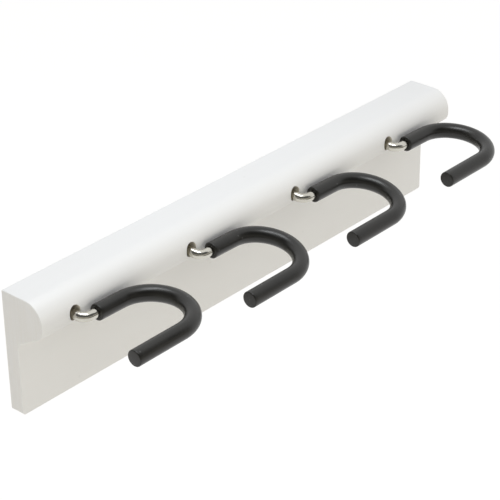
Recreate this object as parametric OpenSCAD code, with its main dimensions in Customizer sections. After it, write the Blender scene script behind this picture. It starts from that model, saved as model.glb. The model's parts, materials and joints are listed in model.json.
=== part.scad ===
// Wall rack for mops and brooms: a white moulded rail with four sleeved J hooks that flap in upright slots.
// X runs along the rail from left to right, +Y points into the wall, Z is up, millimetres.
// The origin lies on the wall plane, midway between the entry holes of the two keyhole hangers.

/* [Rail] */
// Length of the rail along the wall
rail_length = 405; // [340:1:520]
// Height of the rail
rail_height = 86; // [72:0.5:110]
// Depth of the nose from the wall to its front
nose_depth = 34.6; // [33:0.2:42]
// Thickness of the plate below the nose
plate_thickness = 11; // [10:0.5:14]
// Radius of the round along the top front of the nose
nose_top_radius = 14; // [9:0.5:15]
// Radius of the round along the lower front of the nose
nose_low_radius = 8; // [4:0.5:10]
// Height of the flat band between the two rounds of the nose
nose_flat = 2.5; // [1:0.5:6]
// Slope of the nose's underside from the level, in degrees
underside_slope = 29; // [15:1:35]
// Radius of the cove where the underside runs into the plate
cove_radius = 6; // [3:0.5:9]
// Radius of the plate's lower corners, seen from the front
corner_radius = 3.2; // [1:0.1:6]
// Radius along the plate's lower front edge
arris_radius = 1.5; // [0.5:0.5:4]

/* [Hook layout] */
// Distance from the rail's left end to the shank of the first hook
first_hook_inset = 27; // [22:1:40]
// Distance from the shank of the last hook to the rail's right end
last_hook_inset = 72; // [64:1:90]
// Drop from the rail's top to the rod's centre where it rests in its slot, at the rail's front
rest_drop = 16.4; // [14:0.2:19]
// Droop of each hook at rest, from the first to the last, in degrees
hook_droops = [3.1, 9.9, 9.9, 5.1]; // [1:0.1:12]
// Travel of a hook from rest up to the top of its slot, in degrees
hook_lift = 6; // [5.5:0.5:12]
// Width of the slots
slot_width = 8.8; // [8.4:0.1:10]

/* [Hook rod and sleeve] */
// Diameter of the rod
rod_diameter = 6.35; // [5:0.05:6.6]
// Length of the hinge leg behind the rail
hinge_leg_length = 30; // [24:1:34]
// Radius of the bend from the hinge leg into the shank, at the rod's centre
hinge_bend_radius = 6; // [5:0.5:8]
// Radius of the bend in front of the slot, at the rod's centre
root_bend_radius = 6; // [5:0.5:8]
// Least gap between the start of the sleeve and the front of the nose, with the hook at rest
sleeve_gap = 1.2; // [0.3:0.1:4]
// Angle by which the inner leg runs away from the rail, in degrees
leg_splay = 1; // [0.5:0.5:10]
// Length of bare rod between the root bend and the sleeve
bare_length = 4.3; // [3:0.1:10]
// Length of the sleeved inner leg up to the hook's bend
inner_leg_length = 21; // [15:0.5:32]
// Radius of the hook's bend, at the rod's centre
hook_radius = 25.2; // [18:0.2:28]
// Length of the outer leg from the hook's bend to the end of the sleeve
outer_leg_length = 40; // [25:0.5:50]
// Outer diameter of the sleeve
sleeve_diameter = 11; // [9:0.1:13]
// Thickness of the sleeve's closed tip beyond the rod's free end
sleeve_tip = 1.5; // [0.5:0.1:4]
// Length of the bevel on the rod's hidden end
rod_bevel = 0.6; // [0.2:0.1:1.2]

/* [Hinge straps] */
// Thickness of a strap
strap_thickness = 2; // [1.5:0.1:3]
// Height of a strap
strap_height = 12; // [10:0.5:13]
// Width by which a strap laps over the room of the hinge bend, above and below
strap_lap = 1.2; // [0.5:0.1:1.5]
// Distance from the shank to the strap's left screw
strap_left_reach = 11; // [10:0.5:13]
// Distance from the end of the hinge leg to the strap's right screw
strap_right_reach = 9; // [7:0.5:11]
// Shank diameter of the strap screws
strap_screw_diameter = 3; // [2.5:0.1:3.5]
// Head diameter of the strap screws
strap_screw_head = 6; // [5:0.1:6.6]
// Length of the strap screws
strap_screw_length = 14; // [10:0.5:18]

/* [Keyhole hangers] */
// Drop from the rail's top to the entry holes
keyhole_drop = 28; // [26:0.5:32]
// Diameter of the entry hole
entry_diameter = 10; // [9:0.2:11]
// Width of the neck above the entry hole
neck_width = 5; // [4:0.1:5.4]
// Rise from the centre of the entry hole to the end of the neck's straight sides
neck_rise = 8; // [7:0.2:9]
// Thickness of a hanger plate
hanger_thickness = 1.6; // [1.2:0.1:2.5]
// Width of a hanger plate
hanger_width = 14; // [13:0.5:18]
// Distance from the entry hole's centre down to the lower screw
hanger_low_reach = 11.5; // [11:0.5:13]
// Distance from the neck's end up to the upper screw
hanger_top_reach = 9.5; // [8.5:0.5:11]
// Depth of the room behind the plate for a wall screw's head
head_room = 5; // [4:0.5:7]
// Shank diameter of the hanger screws
hanger_screw_diameter = 2.8; // [2.4:0.1:3.2]
// Head diameter of the hanger screws
hanger_screw_head = 5.4; // [5:0.1:6]
// Length of the hanger screws
hanger_screw_length = 8; // [6:0.5:9]

/* [Fits] */
// Running clearance round the hinge leg and the shank
running_clearance = 0.3; // [0.2:0.05:0.4]
// Clearance between pieces that are fixed to each other
seat_clearance = 0.1; // [0.05:0.01:0.15]
// Depth by which straps and hangers lie below the rail's back
flush_recess = 0.2; // [0.1:0.05:0.4]

/* [Hidden] */
$fn = 96;
hook_count = len(hook_droops);
hooks = [0:hook_count - 1];

// Overrun of every cut past the face that it opens
overrun = 1;
// Reach of a straight run of rod or sleeve into the bend next to it, and the step in radius between them
weld_depth = 0.1;
weld_step = 0.03;
// Shares of a screw's head that its cross recess takes, and of its shank that is left at the tip
cross_width_share = 0.16;
cross_length_share = 0.6;
cross_depth_share = 0.6;
tip_share = 0.25;
rail_colour = "white";
rod_colour = "silver";
sleeve_colour = "dimgray";
plate_colour = "lightgray";

// Rod, slot and hinge
rod_radius = rod_diameter / 2;
sleeve_radius = sleeve_diameter / 2;
// Distance of the hinge axis from the wall
hinge_setback = flush_recess + strap_thickness + running_clearance + rod_radius;
// Distance from the hinge axis to the front of the nose
hinge_to_front = nose_depth - hinge_setback;
// Height of the rod's centre above the rail's bottom where it rests in its slot, at the rail's front
rest_height = rail_height - rest_drop;
// Each slot slopes with its hook at half travel, so that it is no taller inside than at its mouth
function slot_slope(i) = hook_droops[i] - hook_lift / 2;
slot_reach = hinge_to_front / cos(max([for (i = hooks) slot_slope(i)]));
// The rod lies to the right of the slot's middle, and this keeps it clear of the slot's round ends
slot_offset = running_clearance;
slot_end_room = rod_radius / cos(hook_lift / 2) + slot_offset + running_clearance / 2;
slot_half = slot_reach * tan(hook_lift / 2) + slot_end_room;
hook_pitch = (rail_length - first_hook_inset - last_hook_inset) / (hook_count - 1);
function hook_x(i) = first_hook_inset + i * hook_pitch;
function hinge_height(i) = rest_height + hinge_to_front * tan(hook_droops[i]);

// The rod's path in the hook's own plane, from the hinge axis outwards
sleeve_start_reach = (hinge_to_front + sleeve_gap + sleeve_radius) / cos(max(hook_droops));
shank_end = sleeve_start_reach - root_bend_radius * cos(leg_splay) - bare_length * sin(leg_splay);
root_turn = 90 - leg_splay;
hook_turn = 180 - leg_splay;
inner_leg_run = bare_length + inner_leg_length;
inner_leg_start = [root_bend_radius * (1 - sin(leg_splay)), shank_end + root_bend_radius * cos(leg_splay)];
hook_bend_start = inner_leg_start + inner_leg_run * [cos(leg_splay), sin(leg_splay)];
hook_centre = hook_bend_start + hook_radius * [-sin(leg_splay), cos(leg_splay)];
outer_leg_start = hook_centre + [0, hook_radius];
sleeve_start = inner_leg_start + bare_length * [cos(leg_splay), sin(leg_splay)];

// Straps, hangers and the frame's origin
strap_run = strap_left_reach + hinge_leg_length + strap_right_reach;
keyhole_inset = (strap_right_reach + hinge_leg_length + hook_pitch - strap_left_reach) / 2;
keyhole_left_x = hook_x(0) + keyhole_inset;
keyhole_right_x = hook_x(hook_count - 2) + keyhole_inset;
frame_x = (keyhole_left_x + keyhole_right_x) / 2;
keyhole_height = rail_height - keyhole_drop;
hanger_low_z = keyhole_height - hanger_low_reach;
hanger_high_z = keyhole_height + neck_rise + hanger_top_reach;

// Rail section, with depth from the wall as the first coordinate and height as the second
nose_top_centre = [nose_depth - nose_top_radius, rail_height - nose_top_radius];
nose_low_centre = [nose_depth - nose_low_radius, nose_top_centre[1] - nose_flat];
underside_normal = [sin(underside_slope), -cos(underside_slope)];
underside_start = nose_low_centre + nose_low_radius * underside_normal;
underside_end = [
    plate_thickness,
    underside_start[1] - (underside_start[0] - plate_thickness) * tan(underside_slope)
];
cove_centre = [
    plate_thickness + cove_radius,
    underside_end[1] + cove_radius * (tan(underside_slope) - 1 / cos(underside_slope))
];

// Places rail coordinates, counted from the lower left corner of the back, in the part's frame
module in_frame() {
    translate([-frame_x, 0, -keyhole_height]) children();
}

// Turns an outline in depth and height into a bar along X
module along_rail(length) {
    translate([length, 0, 0]) rotate([90, 0, -90]) linear_extrude(length) children();
}

// Turns an outline in X and height into a block that runs forward from a depth behind the rail's back
module forward(from, to) {
    translate([0, -from, 0]) rotate([90, 0, 0]) linear_extrude(to - from) children();
}

// Turns an outline across a hook's own plane into a block that runs outwards along the plane
module outwards(from, to) {
    rotate([-90, 0, 0]) translate([0, 0, from]) linear_extrude(to - from) children();
}

// A bar with round ends between two points on a level or upright line
module stadium(low, high, width) {
    span = high - low;
    level = span[0] != 0;
    translate(low) circle(d = width);
    translate(high) circle(d = width);
    translate(level ? low - [0, width / 2] : low - [width / 2, 0])
        square(level ? [span[0], width] : [width, span[1]]);
}

module rail_section() {
    difference() {
        union() {
            polygon([
                [0, 0],
                [plate_thickness - arris_radius, 0],
                [plate_thickness - arris_radius, arris_radius],
                [plate_thickness, arris_radius],
                underside_end,
                underside_start,
                nose_low_centre,
                [nose_depth, nose_low_centre[1]],
                [nose_depth, nose_top_centre[1]],
                nose_top_centre,
                [nose_top_centre[0], rail_height],
                [0, rail_height]
            ]);
            translate([plate_thickness - arris_radius, arris_radius]) circle(r = arris_radius);
            translate(nose_low_centre) circle(r = nose_low_radius);
            translate(nose_top_centre) circle(r = nose_top_radius);
            polygon([
                underside_end,
                [plate_thickness, cove_centre[1]],
                cove_centre,
                cove_centre - cove_radius * underside_normal
            ]);
        }
        translate(cove_centre) circle(r = cove_radius);
    }
}

// The square corner less its round, to be taken off the rail's lower left corner
module corner_waste() {
    difference() {
        translate([-overrun, -overrun]) square(corner_radius + overrun);
        translate([corner_radius, corner_radius]) circle(r = corner_radius);
    }
}

// All that is cut for one hook: its slot, the room of its hinge bend, the groove of its hinge leg
// and the seat of its strap
module hook_cuts(i) {
    x = hook_x(i);
    z = hinge_height(i);
    groove = rod_radius + running_clearance;
    slot_x = x - slot_offset;
    slot_end = slot_half - slot_width / 2;
    bend_depth = hinge_setback + hinge_bend_radius;
    bend_room = strap_height - 2 * strap_lap;
    at_hinge(i, slot_slope(i)) outwards(hinge_bend_radius / 2, slot_reach + slot_half + overrun)
        stadium([-slot_offset, -slot_end], [-slot_offset, slot_end], slot_width);
    room_left = slot_x - slot_width / 2 - running_clearance;
    room_right = x + hinge_bend_radius + running_clearance;
    forward(-overrun, bend_depth + running_clearance)
        translate([room_left, z - bend_room / 2]) square([room_right - room_left, bend_room]);
    forward(-overrun, hinge_setback + groove)
        translate([x, z - groove]) square([hinge_leg_length + running_clearance, 2 * groove]);
    forward(-overrun, flush_recess + strap_thickness) strap_outline(i, strap_height + 2 * seat_clearance);
    for (screw_x = strap_screw_places(i))
        screw_bore([screw_x, z], strap_screw_diameter, flush_recess + strap_screw_length);
}

// All that is cut for one keyhole hanger
module hanger_cuts(x) {
    room_width = entry_diameter + 2 * running_clearance;
    forward(-overrun, flush_recess + hanger_thickness) hanger_outline(x, hanger_width + 2 * seat_clearance);
    forward(-overrun, flush_recess + hanger_thickness + head_room)
        stadium([x, keyhole_height], [x, keyhole_height + neck_rise], room_width);
    for (screw_z = [hanger_low_z, hanger_high_z])
        screw_bore([x, screw_z], hanger_screw_diameter, flush_recess + hanger_screw_length);
}

// A blind bore from the rail's back for the shank of a screw
module screw_bore(place, shank, depth) {
    forward(-overrun, depth + seat_clearance)
        translate(place) circle(d = shank + 2 * seat_clearance);
}

function strap_screw_places(i) = [
    hook_x(i) - strap_left_reach,
    hook_x(i) - strap_left_reach + strap_run
];

module strap_outline(i, height) {
    places = strap_screw_places(i);
    stadium([places[0], hinge_height(i)], [places[1], hinge_height(i)], height);
}

module hanger_outline(x, width) {
    stadium([x, hanger_low_z], [x, hanger_high_z], width);
}

// A countersunk wood screw driven forward from the back, with its cross recess
module screw(place, shank, head, length) {
    head_depth = (head - shank) / 2;
    tip_length = shank;
    recess_width = head * cross_width_share;
    recess_length = head * cross_length_share;
    recess_depth = head_depth * cross_depth_share;
    translate([place[0], -flush_recess, place[1]]) rotate([90, 0, 0]) difference() {
        union() {
            cylinder(h = head_depth, d1 = head, d2 = shank);
            cylinder(h = length - tip_length, d = shank);
            translate([0, 0, length - tip_length])
                cylinder(h = tip_length, d1 = shank, d2 = shank * tip_share);
        }
        for (turn = [0, 90])
            rotate([0, 0, turn]) translate([-recess_length / 2, -recess_width / 2, -overrun])
                cube([recess_length, recess_width, overrun + recess_depth]);
    }
}

// The countersunk hole of such a screw in a plate
module screw_seat(place, shank, head, thickness) {
    head_depth = (head - shank) / 2;
    hole = shank + 2 * seat_clearance;
    mouth = head + 2 * seat_clearance;
    translate([place[0], -flush_recess, place[1]]) rotate([90, 0, 0]) {
        translate([0, 0, -overrun]) cylinder(h = thickness + 2 * overrun, d = hole);
        cylinder(h = head_depth, d1 = mouth, d2 = hole);
        translate([0, 0, -overrun]) cylinder(h = overrun, d = mouth);
    }
}

// Puts a hook's own plane at its hinge with a droop: first axis along the rail, second axis outwards
module at_hinge(i, droop) {
    translate([hook_x(i), -hinge_setback, hinge_height(i)])
        rotate([180 + droop, 0, 0]) children();
}

// A straight rod or tube in the hook's plane from a point along a heading in degrees. It is a trace thinner
// than the bends, and reaches a little way into the bend before it and, where it has one, the bend after it.
// A tip closes the far end of a tube
module straight(from, heading, length, outer, inner = 0, before = weld_depth, after = weld_depth, tip = 0) {
    run = before + length + after;
    translate(from) rotate([0, 0, heading]) translate([-before, 0]) rotate([0, 90, 0]) difference() {
        cylinder(h = run, r = outer - weld_step);
        if (inner > 0)
            translate([0, 0, -overrun])
                cylinder(h = overrun + run + (tip > 0 ? -tip : overrun), r = inner + weld_step);
    }
}

// A bend in the hook's plane about a centre, from one bearing through a turn, both in degrees
module bend(centre, radius, bearing, turn, outer, inner = 0) {
    translate(centre) rotate([0, 0, bearing])
        rotate_extrude(angle = turn) translate([radius, 0]) ring(outer, inner);
}

module ring(outer, inner) {
    difference() {
        circle(r = outer);
        if (inner > 0) circle(r = inner);
    }
}

module rail() {
    color(rail_colour) in_frame() difference() {
        along_rail(rail_length) rail_section();
        forward(-overrun, nose_depth + overrun) corner_waste();
        forward(-overrun, nose_depth + overrun) translate([rail_length, 0]) mirror([1, 0]) corner_waste();
        for (i = hooks) hook_cuts(i);
        hanger_cuts(keyhole_left_x);
        hanger_cuts(keyhole_right_x);
    }
}

module hook_rod(i) {
    color(rod_colour) in_frame() at_hinge(i, hook_droops[i]) {
        translate([hinge_leg_length, 0]) rotate([0, -90, 0])
            cylinder(h = rod_bevel, r1 = rod_radius - rod_bevel, r2 = rod_radius);
        straight([hinge_bend_radius, 0], 0, hinge_leg_length - hinge_bend_radius - rod_bevel, rod_radius);
        bend([hinge_bend_radius, hinge_bend_radius], hinge_bend_radius, 180, 90, rod_radius);
        straight([0, hinge_bend_radius], 90, shank_end - hinge_bend_radius, rod_radius);
        bend([root_bend_radius, shank_end], root_bend_radius, 90 + leg_splay, root_turn, rod_radius);
        straight(inner_leg_start, leg_splay, inner_leg_run, rod_radius);
        bend(hook_centre, hook_radius, leg_splay - 90, hook_turn, rod_radius);
        straight(outer_leg_start, 180, outer_leg_length - sleeve_tip - seat_clearance, rod_radius, after = 0);
    }
}

module grip_sleeve(i) {
    bore = rod_radius + seat_clearance;
    color(sleeve_colour) in_frame() at_hinge(i, hook_droops[i]) {
        straight(sleeve_start, leg_splay, inner_leg_length, sleeve_radius, bore, before = 0);
        bend(hook_centre, hook_radius, leg_splay - 90, hook_turn, sleeve_radius, bore);
        straight(outer_leg_start, 180, outer_leg_length, sleeve_radius, bore, after = 0, tip = sleeve_tip);
    }
}

module hinge_strap(i) {
    color(plate_colour) in_frame() difference() {
        forward(flush_recess, flush_recess + strap_thickness) strap_outline(i, strap_height);
        for (screw_x = strap_screw_places(i))
            screw_seat([screw_x, hinge_height(i)], strap_screw_diameter, strap_screw_head, strap_thickness);
    }
}

module strap_screws(i) {
    color(rod_colour) in_frame()
        for (screw_x = strap_screw_places(i))
            screw([screw_x, hinge_height(i)], strap_screw_diameter, strap_screw_head, strap_screw_length);
}

module keyhole_plate(x) {
    color(plate_colour) in_frame() difference() {
        forward(flush_recess, flush_recess + hanger_thickness) hanger_outline(x, hanger_width);
        forward(-overrun, flush_recess + hanger_thickness + overrun) {
            translate([x, keyhole_height]) circle(d = entry_diameter);
            stadium([x, keyhole_height], [x, keyhole_height + neck_rise], neck_width);
        }
        for (screw_z = [hanger_low_z, hanger_high_z])
            screw_seat([x, screw_z], hanger_screw_diameter, hanger_screw_head, hanger_thickness);
    }
}

module keyhole_screws(x) {
    color(rod_colour) in_frame()
        for (screw_z = [hanger_low_z, hanger_high_z])
            screw([x, screw_z], hanger_screw_diameter, hanger_screw_head, hanger_screw_length);
}

rail();
for (i = hooks) {
    hook_rod(i);
    grip_sleeve(i);
    hinge_strap(i);
    strap_screws(i);
}
keyhole_plate(keyhole_left_x);  // keyhole_plate_left
keyhole_plate(keyhole_right_x);  // keyhole_plate_right
keyhole_screws(keyhole_left_x);  // keyhole_screws_left
keyhole_screws(keyhole_right_x);  // keyhole_screws_right
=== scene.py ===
"""Looks of the wall mop rack: a painted timber rail with four sleeved hooks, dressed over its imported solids.

Every length below is in metres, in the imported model's own frame: X along the rail, +Y into the wall, Z up.
"""

import json
import logging
import math
from dataclasses import dataclass, field
from enum import Enum
from functools import reduce
from typing import ClassVar, Iterable, NamedTuple, Sequence

import bmesh
import bpy
from bpy.types import Material, Mesh, Node, NodeSocket, NodeTree, Object, World
from mathutils import Matrix, Vector


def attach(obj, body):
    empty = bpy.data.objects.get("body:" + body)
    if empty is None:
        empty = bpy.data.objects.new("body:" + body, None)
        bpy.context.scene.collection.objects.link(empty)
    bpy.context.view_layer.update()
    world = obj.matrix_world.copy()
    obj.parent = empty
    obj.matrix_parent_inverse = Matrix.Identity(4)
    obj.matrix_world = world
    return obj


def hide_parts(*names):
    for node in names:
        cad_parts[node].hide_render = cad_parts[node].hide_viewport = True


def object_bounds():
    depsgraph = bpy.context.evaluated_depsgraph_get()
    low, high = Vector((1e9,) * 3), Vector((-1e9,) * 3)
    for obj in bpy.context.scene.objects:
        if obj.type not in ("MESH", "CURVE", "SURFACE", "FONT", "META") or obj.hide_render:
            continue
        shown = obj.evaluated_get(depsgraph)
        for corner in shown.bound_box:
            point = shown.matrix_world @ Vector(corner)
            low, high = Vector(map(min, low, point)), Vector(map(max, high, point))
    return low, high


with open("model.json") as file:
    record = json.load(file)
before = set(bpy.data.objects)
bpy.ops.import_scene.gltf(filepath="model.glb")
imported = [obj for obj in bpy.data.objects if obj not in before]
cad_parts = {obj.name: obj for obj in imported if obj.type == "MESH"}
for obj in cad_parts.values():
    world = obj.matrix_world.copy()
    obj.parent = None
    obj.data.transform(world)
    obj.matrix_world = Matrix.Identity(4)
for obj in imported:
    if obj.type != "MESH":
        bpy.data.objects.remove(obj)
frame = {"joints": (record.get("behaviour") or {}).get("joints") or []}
CAD_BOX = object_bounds()

MM = 0.001
WELD = 0.0005 * MM
WHITE = (1.0, 1.0, 1.0)
WRAP = "wrap"
IMAGE_SIDE = 500
log = logging.getLogger("mop_rack")

Pair = tuple[float, float]
Triple = tuple[float, float, float]
Ring = list[Triple]


class Block(NamedTuple):
    """A block along Y: its outline in X and Z, its two ends, and the outline's rise between them."""

    outline: list[Pair]
    near: float
    far: float
    rise: float = 0.0


class Body(Enum):
    """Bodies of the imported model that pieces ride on; a hook's body is named by its number."""

    RACK = "rack"
    HOOK = "hook_{}"

    def of(self, number: int) -> str:
        """Gives the body's name for a hook's number."""
        return self.value.format(number)


class Slot(Enum):
    """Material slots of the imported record."""

    PAINT = "white_paint"
    NICKEL = "rod_nickel"
    RUBBER = "black_rubber"
    PLATE = "zinc_plate"
    SCREW = "screw_zinc"


class Axis(Enum):
    """Ways in which a grain runs, as the stretch that its noise gets along X, Y and Z."""

    LENGTHWISE = (0.06, 1.0, 1.0)
    UPRIGHT = (1.0, 1.0, 0.05)
    WRAPPED = (0.02, 1.0, 1.0)


# Node helpers


class NodeBoard:
    """A short way to place nodes in one tree and to feed their sockets."""

    def __init__(self, tree: NodeTree) -> None:
        """Takes the tree that the nodes go into."""
        self.tree = tree

    def add(self, kind: str, **settings: object) -> Node:
        """Places a node.

        Args:
            kind: Blender's name of the node type.
            settings: properties of the node, set before its sockets are used.

        Returns:
            The new node.
        """
        node = self.tree.nodes.new(kind)
        for name, value in settings.items():
            setattr(node, name, value)
        return node

    def feed(self, node: Node, **values: object) -> Node:
        """Links or sets inputs of a node.

        Args:
            node: the node to feed.
            values: an input's name, with blanks as underscores, or i and its index, and its value or source.

        Returns:
            The same node.
        """
        for name, value in values.items():
            indexed = name[0] == "i" and name[1:].isdigit()
            socket = node.inputs[int(name[1:])] if indexed else node.inputs[name.replace("_", " ")]
            if isinstance(value, NodeSocket):
                self.tree.links.new(value, socket)
            elif socket.type == "RGBA":
                socket.default_value = (*value, 1.0)
            else:
                socket.default_value = value
        return node

    def use(self, kind: str, **values: object) -> NodeSocket:
        """Places a node, feeds its inputs and gives its first output."""
        return self.feed(self.add(kind), **values).outputs[0]

    def math(self, operation: str, first: object, second: object = 0.0) -> NodeSocket:
        """Gives the result of one operation, such as MULTIPLY, on numbers or sockets."""
        node = self.add("ShaderNodeMath", operation=operation)
        return self.feed(node, i0=first, i1=second).outputs[0]

    def vector(self, operation: str, first: object, second: object) -> NodeSocket:
        """Gives the result of one operation, such as MULTIPLY, on two vectors or sockets."""
        node = self.add("ShaderNodeVectorMath", operation=operation)
        return self.feed(node, i0=first, i1=second).outputs[0]

    def scaled(self, vector: object, factor: object) -> NodeSocket:
        """Gives a vector times a number."""
        node = self.add("ShaderNodeVectorMath", operation="SCALE")
        return self.feed(node, i0=vector, Scale=factor).outputs[0]

    def mixed(self, parts: Sequence[NodeSocket], shares: Sequence[float]) -> NodeSocket:
        """Gives the sum of the parts that have a share, each times its share."""
        terms = [self.math("MULTIPLY", part, share) for part, share in zip(parts, shares) if share]
        return reduce(lambda first, second: self.math("ADD", first, second), terms)

    def between(self, value: object, low: float, high: float, start: float = 0.0,
                end: float = 1.0) -> NodeSocket:
        """Maps a value smoothly from the range low to high onto start to end, and holds it past them."""
        node = self.add("ShaderNodeMapRange", interpolation_type="SMOOTHSTEP")
        return self.feed(node, Value=value, From_Min=low, From_Max=high, To_Min=start, To_Max=end).outputs[0]

    def blend(self, factor: object, first: object, second: object) -> NodeSocket:
        """Blends two colours by the share of the second."""
        node = self.add("ShaderNodeMix", data_type="RGBA")
        # Inputs 6 and 7 and output 2 are the ones for colours.
        return self.feed(node, i0=factor, i6=first, i7=second).outputs[2]

    def noise(self, vector: object, scale: object, detail: float = 3.0,
              roughness: float = 0.55) -> NodeSocket:
        """Gives noise, from its blotches per metre, its octaves and the strength of the finer ones."""
        return self.use("ShaderNodeTexNoise", Vector=vector, Scale=scale, Detail=detail, Roughness=roughness)

    def split(self, vector: object) -> list[NodeSocket]:
        """Gives a vector's X, Y and Z."""
        return list(self.feed(self.add("ShaderNodeSeparateXYZ"), i0=vector).outputs)

    def place(self) -> NodeSocket:
        """Gives the object's own coordinates."""
        return self.add("ShaderNodeTexCoord").outputs["Object"]

    def group(self, tree: NodeTree, **values: object) -> NodeSocket:
        """Places a shader group, feeds its inputs and gives its output."""
        return self.feed(self.add("ShaderNodeGroup", node_tree=tree), **values).outputs[0]


def cleared(owner: Material | World) -> NodeBoard:
    """Empties the node tree of a material or a world.

    Args:
        owner: the material or world.

    Returns:
        The tree's board.
    """
    owner.use_nodes = True
    owner.node_tree.nodes.clear()
    return NodeBoard(owner.node_tree)


def node_group(kind: str, name: str, inputs: dict[str, str],
               output: tuple[str, str]) -> tuple[NodeBoard, dict[str, NodeSocket]]:
    """Starts a node group.

    Args:
        kind: Blender's name of the tree type.
        name: name of the group.
        inputs: names and types of its inputs.
        output: name and type of its output.

    Returns:
        The group's board and its input sockets by name.
    """
    tree = bpy.data.node_groups.new(name, kind)
    for label, value in inputs.items():
        tree.interface.new_socket(label, in_out="INPUT", socket_type="NodeSocket" + value)
    tree.interface.new_socket(output[0], in_out="OUTPUT", socket_type="NodeSocket" + output[1])
    board = NodeBoard(tree)
    entry = board.add("NodeGroupInput")
    return board, {label: entry.outputs[label] for label in inputs}


@dataclass
class Effects:
    """The shader groups that several finishes share, each with its noise and the band of it that shows."""

    streak_noise: Pair = (4.0, 0.65)
    streak_band: Pair = (0.28, 0.72)
    speck_band: Pair = (0.12, 0.34)
    patch_noise: Pair = (5.0, 0.6)
    patch_band: Pair = (0.38, 0.66)

    def __post_init__(self) -> None:
        """Builds each group once."""
        self.streaks = self._streaks()
        self.specks = self._specks()
        self.patches = self._patches()

    @staticmethod
    def _start(name: str, **inputs: str) -> tuple[NodeBoard, dict[str, NodeSocket]]:
        """Starts a group that reads a place and a scale and gives a mask."""
        return node_group("ShaderNodeTree", name, {"Place": "Vector", "Scale": "Float", **inputs},
                          ("Mask", "Float"))

    @staticmethod
    def _end(board: NodeBoard, mask: NodeSocket) -> NodeTree:
        """Ends a group with its mask."""
        board.feed(board.add("NodeGroupOutput"), Mask=mask)
        return board.tree

    def _streaks(self) -> NodeTree:
        """Builds long fine streaks: drawing lines, brush marks and timber grain.

        Returns:
            The group.
        """
        board, given = self._start("long_streaks", Stretch="Vector")
        place = board.vector("MULTIPLY", given["Place"], given["Stretch"])
        fine = board.noise(place, given["Scale"], *self.streak_noise)
        return self._end(board, board.between(fine, *self.streak_band))

    def _specks(self) -> NodeTree:
        """Builds scattered small specks: dust on paint and rubber, pits in plating.

        Returns:
            The group.
        """
        board, given = self._start("scattered_specks", Share="Float")
        cells = board.feed(board.add("ShaderNodeTexVoronoi"), Vector=given["Place"], Scale=given["Scale"])
        chance = board.use("ShaderNodeSeparateColor", Color=cells.outputs["Color"])
        chosen = board.math("LESS_THAN", chance, given["Share"])
        spot = board.between(cells.outputs["Distance"], *self.speck_band, 1.0, 0.0)
        return self._end(board, board.math("MULTIPLY", chosen, spot))

    def _patches(self) -> NodeTree:
        """Builds broad soft patches: handling marks, tarnish and uneven sheen.

        Returns:
            The group.
        """
        board, given = self._start("soft_patches")
        broad = board.noise(given["Place"], given["Scale"], *self.patch_noise)
        return self._end(board, board.between(broad, *self.patch_band))


# Finishes


class Mix(NamedTuple):
    """Shares of a finish's masks in one of its layers."""

    grain: float = 0.0
    patches: float = 0.0
    specks: float = 0.0
    tooth: float = 0.0


@dataclass(frozen=True)
class Finish:
    """A finish: two colours, a range of roughness, a depth of relief, its masks and how its layers mix them.

    The tone runs from the first colour to the second, and the sheen through the range of roughness.
    """

    name: str
    colour: Triple
    second_colour: Triple
    roughness: Pair
    relief_depth: float
    tone: Mix = Mix(patches=1.0)
    sheen: Mix = Mix(patches=1.0)
    relief: Mix = Mix(grain=1.0)
    grain: Axis = Axis.LENGTHWISE
    grain_scale: float = 900.0
    attribute: str = ""
    patch_scale: float = 60.0
    speck_scale: float = 900.0
    speck_share: float = 0.03
    speck_colour: Triple = (0.2, 0.2, 0.2)
    speck_strength: float = 0.5
    tooth_scale: float = 420.0
    tooth_detail: float = 2.0
    metallic: float = 0.0
    gloss: float = 0.5

    def masks(self, board: NodeBoard, effects: Effects) -> list[NodeSocket]:
        """Draws the masks.

        Args:
            board: the material's board.
            effects: the shared shader groups.

        Returns:
            Sockets of the grain, patches, specks and tooth, in the order of a mix.
        """
        place = run = board.place()
        if self.attribute:
            run = board.add("ShaderNodeAttribute", attribute_name=self.attribute).outputs["Vector"]
        return [board.group(effects.streaks, Place=run, Stretch=self.grain.value, Scale=self.grain_scale),
                board.group(effects.patches, Place=place, Scale=self.patch_scale),
                board.group(effects.specks, Place=place, Scale=self.speck_scale, Share=self.speck_share),
                board.noise(place, self.tooth_scale, self.tooth_detail)]

    def surface(self, board: NodeBoard, tone: NodeSocket, specks: NodeSocket) -> NodeSocket:
        """Blends the two colours by the tone and puts the specks on them."""
        plain = board.blend(tone, self.colour, self.second_colour)
        return board.blend(board.math("MULTIPLY", specks, self.speck_strength), plain, self.speck_colour)

    def build(self, effects: Effects) -> Material:
        """Builds the material.

        Args:
            effects: the shared shader groups.

        Returns:
            The material, without the masks that it doesn't use.
        """
        material = bpy.data.materials.new(self.name)
        material.diffuse_color = (*self.colour, 1.0)
        board = cleared(material)
        masks = self.masks(board, effects)
        _, _, specks, _ = masks
        tone, sheen, relief = (board.mixed(masks, mix) for mix in (self.tone, self.sheen, self.relief))
        colour = self.surface(board, tone, specks)
        rough = board.between(sheen, 0.0, 1.0, *self.roughness)
        bump = board.use("ShaderNodeBump", Height=relief, Strength=1.0, Distance=self.relief_depth)
        shader = board.use("ShaderNodeBsdfPrincipled", Base_Color=colour, Roughness=rough, Normal=bump,
                           Metallic=self.metallic, Specular_IOR_Level=self.gloss)
        board.feed(board.add("ShaderNodeOutputMaterial"), Surface=shader)
        for mask in masks:
            if not mask.is_linked:
                board.tree.nodes.remove(mask.node)
        return material


@dataclass(frozen=True)
class Enamel(Finish):
    """White satin enamel on timber, with brush marks along a grain and a fine peel."""

    tone: Mix = Mix(grain=0.35, patches=0.35)
    relief: Mix = Mix(grain=0.45, tooth=0.55)
    patch_scale: float = 9.0
    speck_scale: float = 260.0
    speck_share: float = 0.008
    speck_colour: Triple = (0.5, 0.48, 0.44)
    speck_strength: float = 0.1


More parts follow.
